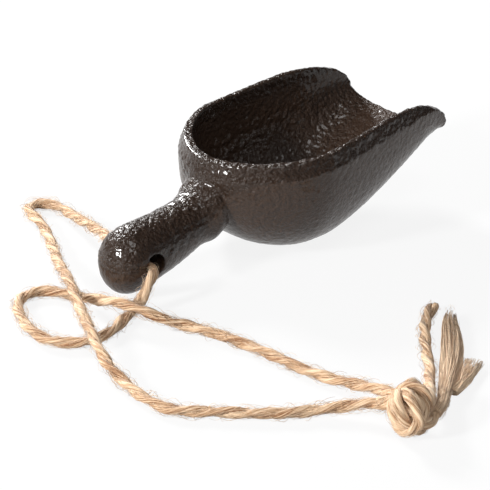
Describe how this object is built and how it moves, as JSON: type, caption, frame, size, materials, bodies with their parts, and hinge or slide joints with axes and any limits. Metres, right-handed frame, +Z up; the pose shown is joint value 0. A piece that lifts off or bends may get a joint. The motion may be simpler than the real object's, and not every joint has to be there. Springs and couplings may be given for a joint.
{
  "type": "small cast iron scoop",
  "caption": "Small one-piece cast iron scoop with an open lip and a hole through its handle, carrying a knotted hanging loop of jute twine.",
  "frame": {"origin": "on the ground under the middle of the casting, twine left out", "axes": "+X from the handle to the pouring lip, +Y to the scoop's left seen from behind the handle, +Z up as the scoop rests on its bowl"},
  "size_m": [0.1454, 0.172, 0.0357],
  "materials": {
    "iron": "satin",
    "twine": "matte"
  },
  "bodies": {
    "scoop": {"scoop_casting": "iron", "twine_hole_run": "twine", "twine_near_lead": "twine", "twine_far_lead": "twine"},
    "twine_loop": {"twine_near_strand": "twine", "twine_far_strand": "twine", "twine_knot": "twine", "twine_cut_tail": "twine", "twine_frayed_tail": "twine", "twine_split_ply": "twine"}
  },
  "joints": [
    {"name": "twine_swivel", "type": "hinge", "parent": "scoop", "child": "twine_loop", "pos_m": [-0.0467, 0, 0.0104], "axis": [0, 0, 1], "range_deg": [-30, 30], "deforming": ["twine_near_lead", "twine_far_lead"]}
  ]
}
